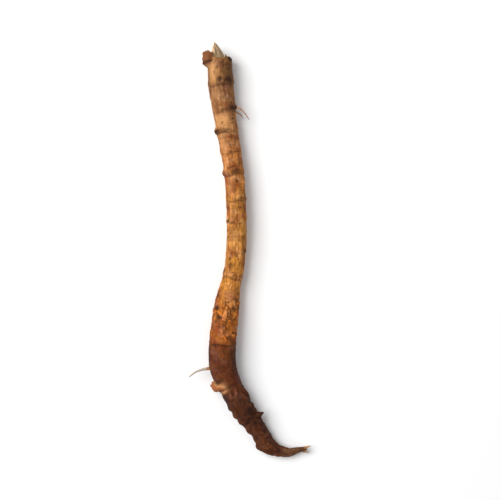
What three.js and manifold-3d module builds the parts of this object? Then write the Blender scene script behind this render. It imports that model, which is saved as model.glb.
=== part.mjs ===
// A dried thorowax taproot lying on its side. The crown, with the splintered base of the stem,
// is at the +Y end. The root narrows, swells again two thirds of the way down, turns aside at
// a rounded heel and runs out into a thin frayed tail towards +X.
// Units are millimetres, +Z is up, and the root rests on z = 0.
import * as THREE from 'three';
import { mergeVertices } from 'three/addons/utils/BufferGeometryUtils.js';
import { ImprovedNoise } from 'three/addons/math/ImprovedNoise.js';
import Module from 'manifold-3d';

const wasm = await Module();
wasm.setup();

// ---- driving dimensions ----
const restDepth = 0.14; // how deep the underside is pressed flat where the root touches down
const bodySides = 24;
const bodySteps = 112;
const barkWall = 0.7; // bark left standing round the rotted stem base
const hollowDepth = 1.4; // how far the stem base has rotted back inside that bark
const lumpSpacing = 7;
const lumpHeight = 0.15;
const furrows = 5; // long shrinkage furrows round the root
const furrowHeight = 0.08;
const furrowTwist = 0.035; // radians of turn for each millimetre along the root

// Stations of the taproot, crown first: centreline x and y, the gap left under the root where it
// bridges, and its radius.
const taproot = [
  { x: -2.9, y: 92.0, gap: 0.1, radius: 2.85 },
  { x: -2.7, y: 86.6, gap: 0.0, radius: 2.95 },
  { x: -2.1, y: 80.5, gap: 0.1, radius: 2.7 },
  { x: -0.8, y: 72.5, gap: 0.4, radius: 2.45 },
  { x: 0.4, y: 64.6, gap: 0.8, radius: 2.3 },
  { x: 1.0, y: 52.7, gap: 0.9, radius: 2.35 },
  { x: 0.6, y: 44.0, gap: 0.8, radius: 2.3 },
  { x: -0.6, y: 37.6, gap: 0.5, radius: 2.5 },
  { x: -1.5, y: 32.8, gap: 0.2, radius: 2.9 },
  { x: -2.2, y: 25.0, gap: 0.0, radius: 3.2 },
  { x: -2.3, y: 19.7, gap: 0.0, radius: 3.15 },
  { x: -1.4, y: 16.5, gap: 0.1, radius: 2.95 },
  { x: 0.0, y: 13.6, gap: 0.2, radius: 2.7 },
  { x: 2.1, y: 9.4, gap: 0.2, radius: 2.7 },
  { x: 5.4, y: 4.8, gap: 0.1, radius: 2.1 },
  { x: 8.0, y: 1.0, gap: 0.0, radius: 1.85 },
  { x: 10.4, y: -0.8, gap: 0.1, radius: 1.45 },
  { x: 13.2, y: -1.4, gap: 0.4, radius: 1.1 },
  { x: 15.4, y: -0.9, gap: 0.8, radius: 0.75 },
  { x: 17.7, y: -0.4, gap: 1.3, radius: 0.4 },
];

// Raised rings round the bark: how far along from the crown, height, half width, and the side
// they are strongest on. A side is in degrees: 0 faces -X, 90 faces up and 180 faces +X.
const rings = [
  { along: 5.8, height: 0.22, width: 0.8, side: 120 },
  { along: 12.0, height: 0.26, width: 0.9, side: 150 },
  { along: 17.0, height: 0.34, width: 0.9, side: 20 },
  { along: 22.3, height: 0.16, width: 0.8, side: 160 },
  { along: 27.3, height: 0.3, width: 0.9, side: 10 },
  { along: 33.5, height: 0.2, width: 0.8, side: 170 },
  { along: 38.7, height: 0.16, width: 0.8, side: 30 },
  { along: 45.8, height: 0.16, width: 0.8, side: 180 },
  { along: 51.4, height: 0.26, width: 1.0, side: 90 },
  { along: 67.8, height: 0.14, width: 0.9, side: 80 },
  { along: 77.2, height: 0.2, width: 1.1, side: 20 },
];

// Knots and scars where side roots grew, with sides as above.
const knots = [
  { along: 12.0, side: 158, radius: 1.0, height: 0.5 },
  { along: 17.2, side: 12, radius: 0.9, height: 0.4 },
  { along: 27.4, side: 8, radius: 0.85, height: 0.4 },
  { along: 38.8, side: 45, radius: 0.8, height: 0.25 },
  { along: 61.0, side: 200, radius: 1.1, height: 0.4 },
  { along: 88.5, side: 100, radius: 0.9, height: 0.3 },
];

// Thin limbs that grow out of the bark. Each starts inside the root and tapers between two radii.
const limbs = {
  heelStub: {
    radii: [1.3, 0.95],
    sides: 9,
    path: [[-0.8, 16.8, 2.9], [-2.3, 15.6, 2.7], [-3.2, 14.7, 2.6]],
  },
  heelRootlet: {
    radii: [0.4, 0.16],
    path: [[-4.6, 18.7, 3.6], [-6.6, 18.5, 3.9], [-8.6, 17.8, 3.5], [-10.2, 16.6, 2.9]],
  },
  thorn: {
    radii: [0.8, 0.18],
    path: [[4.6, 6.9, 2.9], [6.4, 7.8, 3.3], [7.4, 8.2, 3.4]],
  },
  longHair: {
    radii: [0.26, 0.12],
    path: [[-0.2, 80.3, 3.6], [1.8, 79.9, 3.9], [3.0, 78.8, 3.6], [4.0, 77.4, 3.2]],
  },
  shortHair: {
    radii: [0.24, 0.12],
    path: [[-0.3, 79.8, 2.8], [1.7, 78.8, 2.6], [2.6, 77.7, 2.2]],
  },
  upperTailFibre: {
    radii: [0.3, 0.12],
    path: [[16.2, -0.7, 1.6], [17.7, -0.1, 2.1], [18.6, 0.2, 2.4]],
  },
  lowerTailFibre: {
    radii: [0.28, 0.12],
    path: [[15.4, -0.9, 1.5], [17.2, -1.3, 1.4], [18.2, -1.5, 1.2]],
  },
};

// Splinters of wood and a tongue of bark left standing in the broken crown, squashed flat.
const splinters = {
  tall: {
    radii: [1.2, 0.16],
    flat: 0.55,
    path: [[-3.6, 89.2, 3.0], [-4.1, 92.6, 3.2], [-4.2, 95.8, 3.5]],
  },
  leaning: {
    radii: [1.1, 0.16],
    flat: 0.5,
    path: [[-1.9, 89.2, 2.8], [-2.7, 92.6, 2.9], [-3.8, 95.2, 3.2]],
  },
  right: {
    radii: [0.8, 0.2],
    flat: 0.6,
    path: [[-1.4, 89.2, 2.6], [-1.4, 91.8, 2.5], [-1.7, 93.0, 2.5]],
  },
  left: {
    radii: [0.8, 0.18],
    flat: 0.6,
    path: [[-4.1, 89.4, 2.2], [-4.3, 91.8, 2.1], [-4.5, 93.1, 2.0]],
  },
  low: {
    radii: [0.7, 0.22],
    flat: 0.6,
    path: [[-2.9, 89.4, 1.8], [-2.8, 91.8, 1.5], [-2.6, 92.8, 1.3]],
  },
  barkTongue: {
    radii: [1.2, 0.8],
    flat: 0.4,
    path: [[-4.6, 89.2, 3.1], [-5.7, 91.2, 3.5], [-6.1, 93.1, 3.8]],
  },
};

// Notches broken out of the crown's bark rim: centre, size, and turn in radians.
const rimNotches = [
  { x: -1.2, y: 92.6, z: 5.2, size: 1.5, turn: 0.5 },
  { x: -3.9, y: 92.8, z: 5.3, size: 1.2, turn: -0.4 },
  { x: -5.4, y: 92.5, z: 1.6, size: 1.5, turn: 0.7 },
  { x: -0.4, y: 92.8, z: 1.4, size: 1.4, turn: -0.6 },
];

const noise = new ImprovedNoise();

// A closed three.js geometry as a manifold-3d solid. The lathe's poles leave triangles with two
// equal corners, which are dropped.
function solid(geometry) {
  geometry.deleteAttribute('normal');
  geometry.deleteAttribute('uv');
  const merged = mergeVertices(geometry, 1e-4);
  const corners = merged.index.array;
  const triVerts = [];
  for (let i = 0; i < corners.length; i += 3) {
    const [a, b, c] = corners.slice(i, i + 3);
    if (a !== b && b !== c && c !== a) triVerts.push(a, b, c);
  }
  return new wasm.Manifold(
    new wasm.Mesh({
      numProp: 3,
      vertProperties: merged.getAttribute('position').array,
      triVerts: new Uint32Array(triVerts),
    }),
  );
}

// A round solid along a smooth curve through its stations: a lathed drum one unit in radius and
// length, bent along the curve. swell(along, angle) adds to the radius, flat squashes it upwards.
function limb(stations, { sides = 7, steps = 6, flat = 1, swell = () => 0 }) {
  const centre = stations.map(({ x, y, z }) => new THREE.Vector3(x, y, z));
  const girth = stations.map(({ radius }) => new THREE.Vector3(radius, 0, 0));
  const path = new THREE.CatmullRomCurve3(centre, false, 'centripetal');
  const radii = new THREE.CatmullRomCurve3(girth, false, 'catmullrom');
  const profile = [new THREE.Vector2(0, 0)];
  for (let step = 0; step <= steps; step++) profile.push(new THREE.Vector2(1, step / steps));
  profile.push(new THREE.Vector2(0, 1));

  const drum = new THREE.LatheGeometry(profile, sides);
  const place = drum.getAttribute('position');
  const length = path.getLength();
  const up = new THREE.Vector3(0, 0, 1);
  const corner = new THREE.Vector3();
  for (let i = 0; i < place.count; i++) {
    corner.fromBufferAttribute(place, i);
    const angle = Math.atan2(corner.z, corner.x);
    const share = path.getUtoTmapping(corner.y);
    const reach = Math.hypot(corner.x, corner.z);
    const radius = reach * (radii.getPoint(share).x + swell(corner.y * length, angle));
    const tangent = path.getTangent(share);
    const side = tangent.clone().cross(up).normalize();
    const top = side.clone().cross(tangent);
    corner
      .copy(path.getPoint(share))
      .addScaledVector(side, Math.cos(angle) * radius)
      .addScaledVector(top, Math.sin(angle) * radius * flat);
    place.setXYZ(i, corner.x, corner.y, corner.z);
  }
  return solid(drum);
}

// A limb given as plain points, with its radius running evenly from the first value to the last.
function taper({ path, radii: [start, end], sides, flat }) {
  const stations = path.map(([x, y, z], i) => {
    const radius = THREE.MathUtils.lerp(start, end, i / (path.length - 1));
    return { x, y, z, radius };
  });
  return limb(stations, { sides, flat, steps: 2 * (path.length - 1) });
}

// How far the bark stands out, a distance along from the crown and at an angle round the root.
function barkRelief(along, angle) {
  const lump = noise.noise(Math.cos(angle) * 0.8 + 5, Math.sin(angle) * 0.8, along / lumpSpacing);
  const furrow = Math.cos(furrows * (angle + along * furrowTwist));
  let relief = lump * lumpHeight + furrow * furrowHeight;
  for (const ring of rings) {
    const facing = 0.6 + 0.4 * Math.cos(angle - THREE.MathUtils.degToRad(ring.side));
    relief += ring.height * facing * Math.exp(-(((along - ring.along) / ring.width) ** 2));
  }
  for (const knot of knots) {
    const turn = angle - THREE.MathUtils.degToRad(knot.side);
    const across = 2.6 * Math.atan2(Math.sin(turn), Math.cos(turn));
    relief += knot.height * Math.exp(-((along - knot.along) ** 2 + across ** 2) / knot.radius ** 2);
  }
  return relief;
}

function taprootSolid() {
  const stations = taproot.map(({ x, y, gap, radius }) => ({ x, y, z: radius - restDepth + gap, radius }));
  return limb(stations, { sides: bodySides, steps: bodySteps, swell: barkRelief });
}

// The rotted hollow inside the bark at the crown, open at its mouth.
function hollowSolid() {
  const { x, y, radius } = taproot[0];
  const z = radius - restDepth;
  const mouth = radius - barkWall;
  const stations = [
    { x, y: y + 1, z, radius: mouth },
    { x, y: y - hollowDepth, z, radius: mouth * 0.8 },
  ];
  return limb(stations, { sides: 12, steps: 2 });
}

function notchSolid({ x, y, z, size, turn }) {
  const block = new THREE.BoxGeometry(size, size * 1.2, size);
  block.rotateZ(Math.PI / 4 + turn);
  block.rotateY(turn);
  block.translate(x, y, z);
  return solid(block);
}

// Everything below z = 0, which presses the underside flat.
function groundSolid() {
  const depth = 20;
  const block = new THREE.BoxGeometry(300, 300, depth);
  block.translate(0, 0, -depth / 2);
  return solid(block);
}

function rootSolid() {
  let root = taprootSolid().subtract(hollowSolid());
  for (const notch of rimNotches) root = root.subtract(notchSolid(notch));
  for (const growth of Object.values({ ...splinters, ...limbs })) root = root.add(taper(growth));
  return root.subtract(groundSolid());
}

// A manifold-3d solid as a three.js geometry, moved so that the middle of its footprint is the origin.
function geometryOf(body) {
  const mesh = body.getMesh();
  const geometry = new THREE.BufferGeometry();
  geometry.setAttribute('position', new THREE.BufferAttribute(mesh.vertProperties, 3));
  geometry.setIndex(new THREE.BufferAttribute(mesh.triVerts, 1));
  geometry.computeBoundingBox();
  const { min, max } = geometry.boundingBox;
  geometry.translate(-(min.x + max.x) / 2, -(min.y + max.y) / 2, -min.z);
  geometry.computeVertexNormals();
  return geometry;
}

const bark = new THREE.MeshStandardMaterial({ color: 0x9a6534, roughness: 0.82, metalness: 0 });
const root = new THREE.Mesh(geometryOf(rootSolid()), bark);
root.name = 'thorowax_root';

const group = new THREE.Group();
group.add(root);

export default group;
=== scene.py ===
from math import atan2, cos, exp, hypot, pi, radians, sin

import bmesh
import bpy
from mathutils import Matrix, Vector, kdtree, noise
from mathutils.bvhtree import BVHTree


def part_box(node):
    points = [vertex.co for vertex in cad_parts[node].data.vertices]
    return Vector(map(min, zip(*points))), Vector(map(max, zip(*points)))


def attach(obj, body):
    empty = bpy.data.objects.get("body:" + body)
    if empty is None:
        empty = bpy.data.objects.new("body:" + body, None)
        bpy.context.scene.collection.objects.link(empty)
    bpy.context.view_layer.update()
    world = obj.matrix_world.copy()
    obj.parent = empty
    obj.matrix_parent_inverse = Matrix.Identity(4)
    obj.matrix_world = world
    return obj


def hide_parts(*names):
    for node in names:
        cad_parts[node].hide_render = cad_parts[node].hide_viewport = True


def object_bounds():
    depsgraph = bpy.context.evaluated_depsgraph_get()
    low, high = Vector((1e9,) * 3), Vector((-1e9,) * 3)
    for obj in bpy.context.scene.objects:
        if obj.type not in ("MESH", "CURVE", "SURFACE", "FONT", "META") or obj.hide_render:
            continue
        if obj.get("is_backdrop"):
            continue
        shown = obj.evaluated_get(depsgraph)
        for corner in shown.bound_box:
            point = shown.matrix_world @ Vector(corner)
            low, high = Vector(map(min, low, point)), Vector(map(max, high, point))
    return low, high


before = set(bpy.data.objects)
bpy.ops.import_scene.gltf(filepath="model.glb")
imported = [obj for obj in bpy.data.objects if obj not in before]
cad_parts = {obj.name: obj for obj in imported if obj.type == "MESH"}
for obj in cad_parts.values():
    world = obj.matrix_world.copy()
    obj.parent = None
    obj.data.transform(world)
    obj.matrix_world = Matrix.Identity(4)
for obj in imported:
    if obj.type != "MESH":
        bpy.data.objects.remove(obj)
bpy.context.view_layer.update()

millimetre = 0.001
up = Vector((0, 0, 1))

# The root is shaped in millimetres and set into the frame at the end. A place on the bark is
# given by how far along it is from the crown, and by its side in degrees round the root:
# 0 faces -X, 90 faces up, 180 faces +X and 270 faces the table.
course = {
    # centreline x and y, the gap left under the root where it bridges, and its radius
    "stations": [
        (-2.9, 92.0, 0.1, 2.85),
        (-2.7, 86.6, 0.0, 2.95),
        (-2.1, 80.5, 0.1, 2.7),
        (-0.8, 72.5, 0.4, 2.45),
        (0.4, 64.6, 0.8, 2.3),
        (1.0, 52.7, 0.9, 2.35),
        (0.6, 44.0, 0.8, 2.3),
        (-0.6, 37.6, 0.5, 2.5),
        (-1.5, 32.8, 0.2, 2.9),
        (-2.2, 25.0, 0.0, 3.2),
        (-2.3, 19.7, 0.0, 3.15),
        (-1.4, 16.5, 0.1, 2.95),
        (0.0, 13.6, 0.2, 2.7),
        (2.1, 9.4, 0.2, 2.7),
        (5.4, 4.8, 0.1, 2.1),
        (8.0, 1.0, 0.0, 1.85),
        (10.4, -0.8, 0.1, 1.45),
        (13.2, -1.4, 0.4, 1.1),
        (15.4, -0.9, 0.8, 0.75),
        (17.7, -0.4, 1.3, 0.4),
    ],
    "restDepth": 0.14,  # how deep the underside is pressed flat
    "pitch": 0.1,  # between the worked-out slices
    "curveSteps": 60,  # worked out from one station to the next, before they are spaced evenly
    "aimSpan": 3,  # slices looked ahead and back to find the way the root points
}


def throughKnots(knots, steps):
    # a Catmull-Rom curve through vectors of any size
    ends = [2 * knots[0] - knots[1]] + knots + [2 * knots[-1] - knots[-2]]
    curve = []
    for before, start, end, after in zip(ends, ends[1:], ends[2:], ends[3:]):
        for step in range(steps):
            t = step / steps
            slope = end - before
            bend = 2 * before - 5 * start + 4 * end - after
            twist = 3 * start - before - 3 * end + after
            curve.append((2 * start + slope * t + bend * t**2 + twist * t**3) / 2)
    return curve + [knots[-1]]


def layCourse():
    # even slices along the root: centre, the way to its -X side, the way to its top, radius
    curve = []
    stations = [Vector(station) for station in course["stations"]]
    for x, y, gap, radius in throughKnots(stations, course["curveSteps"]):
        curve.append((Vector((x, y, radius + gap - course["restDepth"])), radius))
    even = []
    travelled = 0
    for (start, startRadius), (end, endRadius) in zip(curve, curve[1:]):
        step = (end - start).length
        while len(even) * course["pitch"] <= travelled + step:
            share = (len(even) * course["pitch"] - travelled) / step
            even.append((start.lerp(end, share), startRadius + (endRadius - startRadius) * share))
        travelled += step
    slices = []
    span = course["aimSpan"]
    for i, (centre, radius) in enumerate(even):
        ahead = even[min(i + span, len(even) - 1)][0] - even[max(i - span, 0)][0]
        side = ahead.cross(up).normalized()
        slices.append((centre, side, side.cross(ahead).normalized(), radius))
    return slices, travelled


slices, rootLength = layCourse()


def sliceAt(along):
    place = along / course["pitch"]
    i = min(max(int(place), 0), len(slices) - 2)
    share = min(max(place - i, 0), 1)
    mixed = [a + (b - a) * share for a, b in zip(slices[i], slices[i + 1])]
    overrun = (place - i - share) * course["pitch"]  # past either end, straight on
    return mixed[0] + (slices[i + 1][0] - slices[i][0]).normalized() * overrun, *mixed[1:]


def ramp(value, low, high):
    t = min(max((value - low) / (high - low), 0), 1)
    return t * t * (3 - 2 * t)


def turnBetween(angle, side):
    turn = angle - radians(side)
    return atan2(sin(turn), cos(turn))


def barkNoise(point, across, lengthwise, seed=0):
    # smooth noise from -1 to 1 with its grain sized across and along the root, in mm
    return noise.noise(Vector((point.x / across + seed, point.y / across, point.z / lengthwise)))


barkMarks = {
    # rings: along, height, half width, strongest side, how dark the groove below it is
    "rings": [
        (5.8, 0.2, 0.7, 120, 0.7),
        (12.0, 0.24, 0.8, 150, 0.5),
        (17.1, 0.22, 0.7, 20, 0.85),
        (22.3, 0.12, 0.6, 90, 0.35),
        (27.3, 0.26, 0.7, 60, 0.6),
        (33.5, 0.18, 0.6, 170, 0.7),
        (38.7, 0.12, 0.6, 30, 0.3),
        (45.8, 0.13, 0.6, 180, 0.5),
        (51.4, 0.22, 0.8, 90, 0.55),
        (67.8, 0.12, 0.5, 90, 0.8),
        (73.0, 0.06, 0.5, 60, 0.35),
        (77.4, 0.22, 0.8, 20, 0.7),
    ],
    # knots: along, side, radius, height, depth of the pit in the middle, stain
    "knots": [
        (12.1, 157, 0.9, 0.5, 0.2, 0.95),
        (17.2, 14, 1.1, 0.35, 0.1, 0.95),
        (27.4, 6, 1.0, 0.4, 0.05, 0.55),
        (38.8, 22, 0.5, 0.2, 0.2, 0.8),
        (61.0, 200, 1.0, 0.4, 0.2, 0.5),
        (83.0, 60, 1.1, 0.4, 0.2, 0.5),
        (88.5, 110, 1.0, 0.4, 0.2, 0.6),
        (94.7, 5, 1.4, 0.8, 0.0, 0.0),
        (22.5, 285, 0.8, 0.35, 0.2, 0.6),
        (44.0, 240, 0.7, 0.3, 0.25, 0.6),
        (70.5, 310, 0.9, 0.25, 0.2, 0.5),
    ],
    # stains, and painted shade on the swelling's two flanks and in the gap under the bark tongue:
    # along, side, half length, half width, strength
    "stainsAndShade": [
        (0.2, 152, 0.9, 1.4, 1.0),
        # painted shade in the gap under the bark tongue
        (1.7, 16, 0.8, 0.7, 0.9),
        (3.2, 148, 3.0, 2.6, 0.45),
        (5.2, 86, 0.7, 0.8, 0.8),
        (6.3, 104, 0.5, 1.9, 0.5),
        (5.4, 126, 1.1, 1.3, 0.92),
        (5.6, 14, 1.1, 0.5, 0.8),
        (9.0, 95, 2.4, 1.4, 0.3),
        (12.2, 136, 0.8, 1.2, 0.9),
        (12.4, 98, 0.35, 1.2, 0.5),
        (17.2, 24, 0.7, 1.4, 0.95),
        (17.3, 85, 0.35, 1.4, 0.5),
        (22.6, 88, 0.5, 0.5, 0.55),
        (24.6, 76, 0.5, 0.5, 0.5),
        (27.4, 98, 0.6, 1.1, 0.75),
        (27.3, 20, 0.7, 0.9, 0.5),
        (33.6, 140, 0.4, 1.3, 0.6),
        (38.8, 34, 0.5, 0.5, 0.85),
        (45.9, 158, 0.6, 0.7, 0.8),
        (51.0, 26, 0.7, 0.7, 0.7),
        (51.4, 150, 0.5, 0.9, 0.6),
        (57.0, 30, 1.6, 0.6, 0.7),
        (59.8, 42, 0.6, 0.8, 0.8),
        (61.6, 62, 0.5, 0.7, 0.7),
        (64.0, 28, 1.2, 0.6, 0.5),
        # painted shade on the swelling's right and left flanks
        (70.8, 160, 5.5, 2.4, 0.6),
        (70.5, 16, 4.5, 1.1, 0.45),
        (76.2, 46, 0.5, 1.4, 0.75),
        (81.4, 22, 2.2, 1.8, 0.85),
        (82.5, 110, 1.4, 1.0, 0.5),
        (85.6, 124, 1.0, 1.3, 0.85),
        (87.2, 88, 0.8, 0.9, 0.8),
        (90.5, 140, 1.6, 0.8, 0.55),
        (92.0, 50, 0.8, 0.7, 0.6),
        (98.0, 100, 1.2, 0.8, 0.5),
    ],
    # painted highlights on the lit upper left of the bark, and last the pale scar where a side root
    # tore off: along, side, half length, half width, strength
    "highlightsAndScar": [
        (2.8, 54, 2.8, 1.2, 0.25),
        (8.6, 40, 1.8, 0.8, 0.1),
        (8.6, 74, 1.2, 0.8, 0.1),
        (14.8, 76, 1.7, 1.9, 0.22),
        (20.5, 58, 2.4, 0.9, 0.13),
        (24.5, 50, 1.6, 0.7, 0.12),
        (30.0, 58, 2.0, 0.7, 0.09),
        (43.0, 75, 2.5, 0.9, 0.09),
        (56.0, 90, 2.2, 1.2, 0.1),
        (77.9, 40, 1.0, 1.3, 0.6),
    ],
}


def markedBark(along, angle, radius):
    # height, darkening and paleness that the marks give a place on the bark: the darkening is stain and
    # painted shade, the paleness painted highlight and a torn scar
    height = stain = highlightAndScar = 0
    for centre, tall, width, side, dark in barkMarks["rings"]:
        offset = (along - centre) / width
        if abs(offset) > 4:
            continue
        facing = 0.6 + 0.4 * cos(angle - radians(side))
        groove = exp(-((offset - 1.1) / 0.42) ** 2)
        height += tall * facing * (exp(-offset * offset) - 0.7 * groove)
        stain = max(stain, dark * facing * groove)
    for centre, side, size, tall, deep, dark in barkMarks["knots"]:
        across = turnBetween(angle, side) * radius
        distance = hypot(along - centre, across) / size
        if distance > 3:
            continue
        height += tall * exp(-distance * distance) - deep * exp(-(distance / 0.45) ** 2)
        stain = max(stain, dark * exp(-(distance / 0.75) ** 4))
    for centre, side, halfLength, halfWidth, dark in barkMarks["stainsAndShade"]:
        across = turnBetween(angle, side) * radius
        distance = hypot((along - centre) / halfLength, across / halfWidth)
        if distance < 2:
            stain = max(stain, dark * exp(-distance**4))
    for centre, side, halfLength, halfWidth, pale in barkMarks["highlightsAndScar"]:
        across = turnBetween(angle, side) * radius
        distance = hypot((along - centre) / halfLength, across / halfWidth)
        if distance < 2.5:
            highlightAndScar = max(highlightAndScar, pale * exp(-distance * distance))
    return height, stain, highlightAndScar


barkZones = {
    # along the root: the stretch over which each kind of bark fades in, then the one where it fades out
    "flaky": [(52, 57), (65.5, 68)],
    "smooth": [(66, 69), (76, 79)],
    "gnarled": [(77, 81)],
}
textureDepths = {
    # in plain, smooth, flaky and gnarled bark
    "wrinkle": (0.2, 0.1, 0.12, 0.3),
    "fold": (0.14, 0.05, 0, 0.75),
    "crack": (0.1, 0.05, 0.12, 0.12),
    "crackStain": (0.35, 0.2, 0.35, 0.4),
}


def zoneShare(name, along):
    fadeIn, *fadesOut = barkZones[name]
    share = ramp(along, *fadeIn)
    for fade in fadesOut:
        share *= 1 - ramp(along, *fade)
    return share


def barkTexture(point, along):
    # the finer relief, which changes from zone to zone: height in mm and stain
    flaky, smooth, gnarled = [zoneShare(name, along) for name in barkZones]
    zones = (1 - max(flaky, smooth, gnarled), smooth, flaky, gnarled)
    depths = {name: sum(a * b for a, b in zip(row, zones)) for name, row in textureDepths.items()}

    wrinkle = abs(barkNoise(point, 0.75, 5.0)) - 0.22
    fold = abs(barkNoise(point, 1.3, 2.0, 9)) - 0.2
    height = wrinkle * depths["wrinkle"]
    height += fold * depths["fold"]

    cracked = ramp(barkNoise(point, 2.5, 3.5, 21), -0.05, 0.3)
    crack = ramp(barkNoise(point, 1.4, 0.4, 7), 0.3, 0.55) * cracked  # short ones, across the root
    fleck = ramp(barkNoise(point, 0.8, 1.0, 4), 0.38, 0.65)
    height -= crack * depths["crack"] + 0.06 * fleck
    stain = max(crack * depths["crackStain"], fleck * 0.45)

    if flaky > 0:
        warp = Vector([barkNoise(point, 1.3, 1.3, seed) for seed in (31, 37, 41)])
        spread = Vector((point.x / 1.2, point.y / 1.2, point.z / 1.5)) + 0.5 * warp
        near, places = noise.voronoi(spread)
        edge = ramp(near[1] - near[0], 0.0, 0.3)
        lift = noise.noise(places[0] * 7.3)
        torn = ramp(barkNoise(point, 2.0, 2.5, 15), -0.4, 0.1)  # elsewhere they still lie flat
        height += flaky * torn * (0.2 * edge + 0.35 * lift - 0.1)
        stain = max(stain, flaky * torn * (1 - edge) * ramp(lift, -0.3, 0.3) * 0.5)

    height += 0.045 * barkNoise(point, 0.5, 0.5, 2) + 0.025 * barkNoise(point, 0.26, 0.26, 3)
    return height, stain


rootForm = {
    "markDrift": 0.45,  # how far the rings stray from true circles
    "swell": 0.16,
    "ribs": 5,
    "ribHeight": 0.07,
    "ribTwist": 0.035,  # radians a mm
    "tailLength": 12,
    "tailRelief": 0.35,  # the thin tail has less relief
    "gnarledContrast": 0.4,  # and the gnarled bend has less colour contrast
}


def barkRelief(along, angle, radius):
    # height, the part of it that takes colour, darkening (stain and painted shade) and paleness
    # (painted highlight and a torn scar)
    point = Vector((cos(angle) * radius, sin(angle) * radius, along))
    drift = rootForm["markDrift"] * barkNoise(point, 2.6, 6.0, 11)
    height, stain, highlightAndScar = markedBark(along + drift, angle, radius)
    fineHeight, fineStain = barkTexture(point, along)
    height += rootForm["swell"] * barkNoise(point, 3.5, 7.0, 5)
    height += rootForm["ribHeight"] * cos(rootForm["ribs"] * (angle + along * rootForm["ribTwist"]))
    taper = ramp(rootLength - along, 0, rootForm["tailLength"])
    share = rootForm["tailRelief"] + (1 - rootForm["tailRelief"]) * taper
    contrast = 1 - (1 - rootForm["gnarledContrast"]) * zoneShare("gnarled", along)
    return (height + fineHeight) * share, fineHeight * contrast, max(stain, fineStain), highlightAndScar


hollowShare = 0.62  # of the radius, rotted out of the crown
sleeve = {
    "sides": 128,
    "raggedLength": 1.8,  # of bark that the crown's broken rim reaches into
    # half section as a share of the radius and mm along, with the cuts up to the next corner
    "crown": [(0, 1.5, 12), (hollowShare, 1.6, 8), (0.76, 0.12, 2), (0.94, 0, 2), (1, 0.2, 620)],
    "tail": [(1, -0.25, 3), (0.6, 0, 3), (0, 0, 0)],
}


def spinSleeve(bm):
    # a straight closed sleeve: up out of the rotted hollow, over the rim and down to the tail
    corners = sleeve["crown"] + [(share, rootLength + end, cuts) for share, end, cuts in sleeve["tail"]]
    points = []
    for (share, along, cuts), (nextShare, nextAlong, nextCuts) in zip(corners, corners[1:]):
        start = Vector((share, 0, along))
        end = Vector((nextShare, 0, nextAlong))
        points += [start.lerp(end, step / (cuts + 1)) for step in range(cuts + 1)]
    profile = [bm.verts.new(point) for point in points + [end]]
    for pair in zip(profile, profile[1:]):
        bm.edges.new(pair)
    bmesh.ops.spin(
        bm, geom=bm.verts[:] + bm.edges[:], cent=(0, 0, 0), axis=(0, 0, 1), angle=2 * pi,
        steps=sleeve["sides"], use_merge=True,
    )
    bmesh.ops.remove_doubles(bm, verts=bm.verts[:], dist=0.0001)
    bmesh.ops.recalc_face_normals(bm, faces=bm.faces[:])


def bendSleeve(bm):
    # gives every point its relief and lays it along the root's course
    straight = bm.verts.layers.float_vector["straight"]
    heightLayer = bm.verts.layers.float["height"]
    stainAndShadeLayer = bm.verts.layers.float["stain"]
    bleachAndHighlightLayer = bm.verts.layers.float["bleach"]
    for vert in bm.verts:
        share = hypot(vert.co.x, vert.co.y)
        angle = atan2(vert.co.y, vert.co.x)
        along = vert.co.z
        centre, side, top, radius = sliceAt(along)
        height, fineHeight, stain, highlightAndScar = barkRelief(along, angle, radius)
        reach = share * (radius + height)
        outward = Vector((cos(angle), sin(angle), 0))
        if share < hollowShare and along < 3:
            pits = outward * reach
            shift = -0.5 * abs(noise.noise(pits / 0.5)) - 0.25 * noise.noise(pits / 0.2)
            stain = 0.55
        else:
            ragged = 0.5 * noise.noise(outward * 1.7) + 0.25 * noise.noise(outward * 5)
            shift = ragged * (1 - ramp(along, 0, sleeve["raggedLength"]))
        vert[straight] = Vector((cos(angle) * radius * share, sin(angle) * radius * share, along))
        vert[heightLayer] = fineHeight
        vert[stainAndShadeLayer] = stain
        vert[bleachAndHighlightLayer] = highlightAndScar
        centre = sliceAt(along + shift)[0]
        vert.co = centre + (side * cos(angle) + top * sin(angle)) * reach


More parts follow.
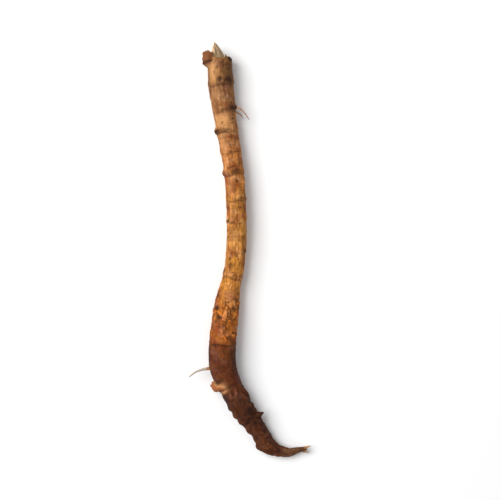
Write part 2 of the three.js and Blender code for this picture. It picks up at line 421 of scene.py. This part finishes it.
limbs = {
    # path in mm from inside the root outwards; radius at its start and end; how much of its
    # height is left where it is squashed flat; how square its section is; steps; material
    # (0 bark, 1 torn wood); stain, all along it or at its foot, which is painted shade on the leaning
    # splinter and at the bark tongue's foot; and bleach
    "heelStub": {
        "path": [(-1.0, 16.4, 3.5), (-3.0, 15.0, 3.5), (-4.3, 13.9, 3.2)],
        "radii": (1.35, 1.1), "steps": 9, "bleach": 0.58,
    },
    "heelRootlet": {
        "path": [(-4.4, 18.7, 3.5), (-6.6, 18.5, 3.9), (-8.6, 17.8, 3.5), (-10.2, 16.6, 2.9)],
        "radii": (0.34, 0.13), "steps": 22, "bleach": 0.8,
    },
    "thorn": {
        "path": [(4.6, 6.9, 2.9), (6.4, 7.8, 3.3), (7.4, 8.2, 3.4)],
        "radii": (0.7, 0.15), "steps": 10, "stain": 0.5,
    },
    "longHair": {
        "path": [(-0.2, 80.3, 3.6), (1.8, 79.9, 3.9), (3.0, 78.8, 3.6), (4.0, 77.4, 3.2)],
        "radii": (0.18, 0.06), "steps": 18, "bleach": 0.5,
    },
    "shortHair": {
        "path": [(-0.3, 79.8, 2.8), (1.7, 78.8, 2.6), (2.6, 77.7, 2.2)],
        "radii": (0.16, 0.06), "steps": 12, "bleach": 0.5,
    },
    "upperTailFibre": {
        "path": [(16.0, -0.8, 1.7), (17.7, -0.1, 2.1), (18.6, 0.2, 2.4)],
        "radii": (0.26, 0.08), "steps": 10, "bleach": 0.2,
    },
    "lowerTailFibre": {
        "path": [(15.4, -0.9, 1.6), (17.2, -1.3, 1.4), (18.2, -1.5, 1.2)],
        "radii": (0.24, 0.08), "steps": 10, "bleach": 0.2,
    },
    "barkTongue": {
        "path": [(-4.1, 89.0, 3.4), (-5.5, 91.0, 4.1), (-5.9, 92.9, 4.4)],
        "radii": (1.4, 1.25), "flat": 0.32, "sharp": 0.6, "steps": 12,
        "stain": 0.4, "foot": 0.9, "bleach": 0.6,
    },
    "tallSplinter": {
        "path": [(-4.2, 88.6, 3.0), (-4.5, 92.6, 3.2), (-4.2, 95.8, 3.5)],
        "radii": (1.0, 0.1), "flat": 0.6, "sharp": 0.8, "steps": 18, "wood": 1,
    },
    "leaningSplinter": {
        "path": [(-2.4, 88.6, 3.2), (-2.9, 92.6, 3.7), (-4.0, 95.4, 3.7)],
        # its stain is painted shade, for the face of the crown's split turned away from the lamp
        "radii": (1.2, 0.14), "flat": 0.6, "sharp": 0.8, "steps": 16, "wood": 1, "stain": 0.65,
    },
    "middleSplinter": {
        "path": [(-3.4, 88.6, 2.5), (-3.7, 92.6, 2.7), (-4.1, 95.0, 3.0)],
        "radii": (0.9, 0.1), "flat": 0.6, "sharp": 0.8, "steps": 14, "wood": 1, "stain": 0.15,
    },
    "rightSplinter": {
        "path": [(-1.4, 88.6, 2.6), (-1.4, 91.8, 2.5), (-1.7, 93.0, 2.5)],
        "radii": (0.6, 0.12), "flat": 0.7, "sharp": 0.6, "steps": 10, "wood": 1, "stain": 0.3,
    },
    "lowSplinter": {
        "path": [(-2.9, 88.6, 1.8), (-2.8, 91.8, 1.5), (-2.6, 92.8, 1.3)],
        "radii": (0.6, 0.14), "flat": 0.7, "sharp": 0.6, "steps": 10, "wood": 1, "stain": 0.3,
    },
}


def withoutPinches(patch):
    # where two parts of the patch meet at one point only, the faces round that point join it
    inside = set(patch)
    for vert in dict.fromkeys(vert for face in patch for vert in face.verts):
        border = [edge for edge in vert.link_edges if len(inside.intersection(edge.link_faces)) == 1]
        if len(border) > 2:
            return withoutPinches(patch + [face for face in vert.link_faces if face not in inside])
    return patch


def patchFacing(faces, faceTree, hit, aim, reach):
    # the root's own faces round a point, where they face the way the limb goes
    near = [faces[index] for _, index, _ in faceTree.find_range(hit, reach)]
    return withoutPinches([face for face in near if face.is_valid and face.normal.dot(aim) > 0.15])


def growLimb(bm, surface, faces, faceTree, limb):
    # extrudes a patch of the root's own faces step by step along the limb's path
    theta = bm.verts.layers.float["theta"]
    level = bm.verts.layers.float["level"]
    straight = bm.verts.layers.float_vector["straight"]
    stainAndShadeLayer = bm.verts.layers.float["stain"]
    bleachAndHighlightLayer = bm.verts.layers.float["bleach"]
    startRadius, endRadius = limb["radii"]

    path = throughKnots([Vector(p) for p in limb["path"]], 24)
    hit = surface.ray_cast(path[0], path[1] - path[0])[0]
    outside = [p for p in path if (p - path[0]).length > (hit - path[0]).length]
    aim = (outside[2] - hit).normalized()
    across = (aim.cross(up) if abs(aim.z) < 0.9 else aim.cross(Vector((0, 1, 0)))).normalized()
    rise = across.cross(aim)

    patch = patchFacing(faces, faceTree, hit, aim, startRadius * 1.05)
    patchVerts = list(dict.fromkeys(vert for face in patch for vert in face.verts))
    inside = set(patch)
    rimVerts = {vert for vert in patchVerts if not inside.issuperset(vert.link_faces)}
    widest = max((vert.co - hit).length for vert in rimVerts)
    for vert in patchVerts:
        offset = vert.co - hit
        vert[theta] = atan2(offset.dot(rise), offset.dot(across))
        vert[level] = 1 if vert in rimVerts else 0.9 * offset.length / widest
    root = min(patchVerts, key=lambda vert: (vert.co - hit).length)[straight].copy()

    steps = limb["steps"]
    for step in range(1, steps + 1):
        grown = bmesh.ops.extrude_face_region(bm, geom=patch)["geom"]
        bmesh.ops.delete(bm, geom=[f for f in patch if f.is_valid], context="FACES")
        patch = [part for part in grown if isinstance(part, bmesh.types.BMFace)]
        spine = step / steps * (len(outside) - 1)
        i = min(int(spine), len(outside) - 2)
        centre = outside[i].lerp(outside[i + 1], spine - i)
        aim = (outside[i + 1] - outside[i]).normalized()
        across = (across - aim * across.dot(aim)).normalized()
        rise = across.cross(aim)
        done = step / steps
        radius = startRadius + (endRadius - startRadius) * done
        if not limb.get("wood"):
            radius *= 1 + 0.5 * exp(-step / 1.5)  # bark limbs swell at the foot
        for vert in [part for part in grown if isinstance(part, bmesh.types.BMVert)]:
            angle = vert[theta]
            edge = 1 / (abs(cos(angle)) + abs(sin(angle)))
            edge = 1 + (edge - 1) * limb.get("sharp", 0)
            spoke = Vector((cos(angle), sin(angle), 0))
            grain = 1 + 0.16 * noise.noise(spoke * 1.6 + up * (done * 3 + root.z))
            reach = radius * edge * grain * vert[level]
            vert.co = centre
            if step == steps:  # a broken, slightly domed end
                broken = noise.noise(spoke * 2.2 + up * root.z)
                vert.co += aim * radius * (0.4 - 0.4 * vert[level] ** 2 + 0.6 * broken)
            vert.co += across * (cos(angle) * reach) + rise * (sin(angle) * reach * limb.get("flat", 1))
            vert[straight] = root + spoke * reach + up * (centre - hit).length
            # painted shade at the foot, where the limb meets the root
            foot = limb.get("foot", 0) * (1 - ramp(done, 0.1, 0.6))
            vert[stainAndShadeLayer] = max(limb.get("stain", 0), foot)
            vert[bleachAndHighlightLayer] = limb.get("bleach", 0) * ramp(done, 0, 0.15)
            for face in vert.link_faces:
                face.material_index = limb.get("wood", 0)


def rootMesh():
    bm = bmesh.new()
    bm.verts.layers.float_vector.new("straight")
    for name in ("height", "stain", "bleach", "theta", "level"):
        bm.verts.layers.float.new(name)
    spinSleeve(bm)
    bendSleeve(bm)
    bmesh.ops.reverse_faces(bm, faces=bm.faces[:])  # bending mirrors the sleeve
    bm.normal_update()
    print("sleeve:", len(bm.verts), "points")

    surface = BVHTree.FromBMesh(bm)
    faces = bm.faces[:]
    faceTree = kdtree.KDTree(len(faces))
    for index, face in enumerate(faces):
        faceTree.insert(face.calc_center_median(), index)
    faceTree.balance()
    for limb in limbs.values():
        growLimb(bm, surface, faces, faceTree, limb)
    for face in bm.faces:
        face.smooth = True

    for vert in bm.verts:
        vert.co.z = max(vert.co.z, 0)  # pressed flat where it lies on the table
    return bm


def placeRoot(bm):
    # the middle of the root's footprint goes to the middle of the CAD node's
    low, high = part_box("thorowax_root")
    corners = [[pick(vert.co[axis] for vert in bm.verts) for axis in range(2)] for pick in (min, max)]
    middle = Vector([(a + b) / 2 for a, b in zip(*corners)] + [0])
    goal = Vector(((low.x + high.x) / 2, (low.y + high.y) / 2, low.z))
    bmesh.ops.translate(bm, verts=bm.verts[:], vec=-middle)
    bmesh.ops.scale(bm, verts=bm.verts[:], vec=(millimetre,) * 3)
    bmesh.ops.translate(bm, verts=bm.verts[:], vec=goal)


def hexColour(text):
    channels = [int(text[i:i + 2], 16) / 255 for i in (1, 3, 5)]
    return [c / 12.92 if c <= 0.04045 else ((c + 0.055) / 1.055) ** 2.4 for c in channels] + [1]


def addNode(tree, kind, settings, links):
    node = tree.nodes.new(kind)
    for key, value in settings.items():
        if key == "stops":
            while len(node.color_ramp.elements) < len(value):
                node.color_ramp.elements.new(1)
            for stop, (position, colour) in zip(node.color_ramp.elements, value):
                stop.position = position
                stop.color = hexColour(colour)
        elif isinstance(key, int) or key in node.inputs:
            node.inputs[key].default_value = value
        else:
            setattr(node, key, value)
    for key, source in links.items():
        tree.links.new(source, node.inputs[key])
    return node


def attributeOf(tree, name, output="Fac"):
    return addNode(tree, "ShaderNodeAttribute", {"attribute_name": name}, {}).outputs[output]


def noiseOf(tree, place, settings):
    return addNode(tree, "ShaderNodeTexNoise", settings, {"Vector": place}).outputs["Fac"]


def remapped(tree, value, settings):
    return addNode(tree, "ShaderNodeMapRange", settings, {"Value": value}).outputs[0]


def tinted(tree, colour, share, tint, blend="MIX"):
    settings = {"data_type": "RGBA", "blend_type": blend, 7: hexColour(tint)}
    return addNode(tree, "ShaderNodeMix", settings, {0: share, 6: colour}).outputs[2]


def blended(tree, colour, share, other):
    links = {0: share, 6: colour, 7: other}
    return addNode(tree, "ShaderNodeMix", {"data_type": "RGBA"}, links).outputs[2]


# along the root from crown to tail, as shares of its length
barkColours = [
    (0.0, "#875c30"),
    (0.08, "#8b5d33"),
    (0.15, "#a5713f"),
    (0.22, "#a56730"),
    (0.4, "#b07530"),
    (0.52, "#b6742a"),
    (0.6, "#a8601c"),
    (0.64, "#a05a1c"),
    (0.66, "#6e3a14"),
    (0.74, "#5c2c12"),
    (0.79, "#4c260f"),
    (0.92, "#52290f"),
    (1.0, "#6a4a2c"),
]


def driedCorkBark():
    # dead cork shrunk onto the root: matt brown, with painted shade in the furrows and painted
    # highlights on the ridges
    material = bpy.data.materials.new("driedCorkBark")
    material.use_nodes = True
    tree = material.node_tree
    tree.nodes.clear()
    place = attributeOf(tree, "straight", "Vector")
    height = attributeOf(tree, "height")

    along = addNode(tree, "ShaderNodeSeparateXYZ", {}, {0: place}).outputs["Z"]
    share = remapped(tree, along, {"From Max": rootLength})
    zone = addNode(tree, "ShaderNodeValToRGB", {"stops": barkColours}, {"Fac": share}).outputs["Color"]

    # purple-brown blushes 3 to 4 mm across, and paler rubbed patches of 2 mm
    blush = noiseOf(tree, place, {"Scale": 0.3, "Detail": 4.0, "Roughness": 0.6})
    blush = remapped(tree, blush, {"From Min": 0.46, "From Max": 0.62, "To Max": 0.7})
    colour = tinted(tree, zone, blush, "#b3827e", "MULTIPLY")
    rubbed = noiseOf(tree, place, {"Scale": 0.55, "Detail": 3.0, "Distortion": 0.6})
    rubbed = remapped(tree, rubbed, {"From Min": 0.5, "From Max": 0.68, "To Max": 0.5})
    paler = addNode(tree, "ShaderNodeHueSaturation", {"Saturation": 0.85, "Value": 1.7},
                    {"Color": colour}).outputs[0]
    colour = blended(tree, colour, rubbed, paler)

    # fibres 0.4 mm wide and a few mm long, and grit of 0.4 mm
    stretched = addNode(tree, "ShaderNodeMapping", {"Scale": (2.4, 2.4, 0.45)}, {"Vector": place})
    fibre = noiseOf(tree, stretched.outputs[0],
                    {"Scale": 1.0, "Detail": 3.0, "Roughness": 0.6, "Distortion": 1.5})
    grit = noiseOf(tree, place, {"Scale": 2.4, "Detail": 5.0, "Roughness": 0.7})
    mottle = addNode(tree, "ShaderNodeMath", {"operation": "ADD"}, {0: fibre, 1: grit}).outputs[0]
    tone = remapped(tree, mottle, {"From Min": 0.7, "From Max": 1.3, "To Min": 0.45, "To Max": 1.55})

    # painted highlight: ridges go pale; painted shade: furrows go dark
    ridgeHighlight = remapped(tree, height, {"From Min": 0.02, "From Max": 0.16, "To Min": 1.0, "To Max": 1.5})
    tone = addNode(tree, "ShaderNodeMath", {"operation": "MULTIPLY"}, {0: tone, 1: ridgeHighlight}).outputs[0]
    tone = addNode(tree, "ShaderNodeCombineColor", {}, {0: tone, 1: tone, 2: tone}).outputs[0]
    colour = addNode(tree, "ShaderNodeMix", {"data_type": "RGBA", "blend_type": "MULTIPLY", 0: 1.0},
                     {6: colour, 7: tone}).outputs[2]
    deep = remapped(tree, height, {"From Min": 0.0, "From Max": -0.12, "To Max": 0.65})
    colour = tinted(tree, colour, deep, "#46240f")

    # low values are painted pale-tan highlights on the bark's lit upper left; where a side root was
    # torn off the bark is raw orange, and thin rootlets are bleached grey
    bleach = attributeOf(tree, "bleach")
    bleachAndHighlightColour = addNode(tree, "ShaderNodeValToRGB",
                  {"stops": [(0.25, "#d99f68"), (0.38, "#ad663a"), (0.6, "#a8683f"), (0.8, "#b3a491")]},
                  {"Fac": bleach}).outputs["Color"]
    bleachAndHighlightShare = remapped(tree, bleach, {"From Max": 0.32, "To Max": 0.85})
    colour = blended(tree, colour, bleachAndHighlightShare, bleachAndHighlightColour)
    # stains go near-black brown, and so does the painted shade on the swelling's flanks, under the bark
    # tongue and at its foot
    colour = tinted(tree, colour, attributeOf(tree, "stain"), "#2a1207")

    polish = remapped(tree, grit, {"To Min": 0.6, "To Max": 0.85})
    bump = addNode(tree, "ShaderNodeBump", {"Strength": 0.5, "Distance": 0.06 * millimetre},
                   {"Height": mottle}).outputs[0]
    shader = addNode(tree, "ShaderNodeBsdfPrincipled", {"IOR": 1.46, "Specular IOR Level": 0.18},
                     {"Base Color": colour, "Roughness": polish, "Normal": bump})
    addNode(tree, "ShaderNodeOutputMaterial", {}, {"Surface": shader.outputs[0]})
    return material


def tornRootWood():
    # broken stem wood: pale straw-coloured fibres, silky along their length, browned low down
    material = bpy.data.materials.new("tornRootWood")
    material.use_nodes = True
    tree = material.node_tree
    tree.nodes.clear()
    place = attributeOf(tree, "straight", "Vector")
    stretched = addNode(tree, "ShaderNodeMapping", {"Scale": (5.0, 5.0, 0.4)}, {"Vector": place})
    fibre = noiseOf(tree, stretched.outputs[0], {"Scale": 1.0, "Detail": 3.0, "Roughness": 0.6})
    colour = addNode(tree, "ShaderNodeValToRGB",
                     {"stops": [(0.3, "#96744c"), (0.5, "#dbb98a"), (0.7, "#f2dcb4")]},
                     {"Fac": fibre}).outputs["Color"]
    # stain browns some splinters; on the leaning splinter it is painted shade
    colour = tinted(tree, colour, attributeOf(tree, "stain"), "#4b2f18")
    bump = addNode(tree, "ShaderNodeBump", {"Strength": 0.5, "Distance": 0.05 * millimetre},
                   {"Height": fibre}).outputs[0]
    shader = addNode(tree, "ShaderNodeBsdfPrincipled", {"IOR": 1.5, "Roughness": 0.7},
                     {"Base Color": colour, "Normal": bump})
    addNode(tree, "ShaderNodeOutputMaterial", {}, {"Surface": shader.outputs[0]})
    return material


def makeRoot():
    bm = rootMesh()
    placeRoot(bm)
    for name in ("theta", "level"):
        bm.verts.layers.float.remove(bm.verts.layers.float[name])
    mesh = bpy.data.meshes.new("driedTaproot")
    bm.to_mesh(mesh)
    bm.free()
    piece = bpy.data.objects.new("driedTaproot", mesh)
    bpy.context.scene.collection.objects.link(piece)
    mesh.materials.append(driedCorkBark())
    mesh.materials.append(tornRootWood())
    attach(piece, "root")
    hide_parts("thorowax_root")
    print("root:", len(mesh.polygons), "faces")


studio = {
    "floorSize": 4.0,
    "floorColour": "#f6f6f6",
    "skyColour": (1.0, 1.0, 1.0, 1),
    "skyStrength": 0.5,
    "keyPlace": (-0.33, 0.12, 0.43),
    "keySize": 0.45,
    "keyPower": 3.4,
    "lens": 100,
    "shownHeight": 0.117,  # of the table, from the top of the picture to the bottom
}


def makeStudio():
    scene = bpy.context.scene
    bpy.ops.mesh.primitive_plane_add(size=studio["floorSize"])
    table = bpy.context.object
    table.name = "whiteTable"
    paper = bpy.data.materials.new("mattWhiteCard")
    paper.use_nodes = True
    shader = paper.node_tree.nodes["Principled BSDF"]
    shader.inputs["Base Color"].default_value = hexColour(studio["floorColour"])
    shader.inputs["Roughness"].default_value = 0.9
    table.data.materials.append(paper)
    table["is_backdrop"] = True

    sky = bpy.data.worlds.new("studioSky")
    sky.use_nodes = True
    sky.node_tree.nodes["Background"].inputs["Color"].default_value = studio["skyColour"]
    sky.node_tree.nodes["Background"].inputs["Strength"].default_value = studio["skyStrength"]
    scene.world = sky

    lamp = bpy.data.lights.new("softBox", "AREA")
    lamp.shape = "SQUARE"
    lamp.size = studio["keySize"]
    lamp.energy = studio["keyPower"]
    softBox = bpy.data.objects.new("softBox", lamp)
    softBox.location = studio["keyPlace"]
    softBox.rotation_euler = (-softBox.location).to_track_quat("-Z", "Y").to_euler()
    scene.collection.objects.link(softBox)
    scene.view_settings.view_transform = "Standard"


def makeCamera():
    low, high = [Vector(corner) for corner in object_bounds()]
    view = bpy.data.cameras.new("overhead")
    view.lens = studio["lens"]
    camera = bpy.data.objects.new("overhead", view)
    distance = studio["shownHeight"] * view.lens / view.sensor_width
    camera.location = (low + high) / 2 + up * (distance + high.z / 2)
    bpy.context.scene.collection.objects.link(camera)
    bpy.context.scene.camera = camera


makeRoot()
makeStudio()
makeCamera()
print("studio and camera set")
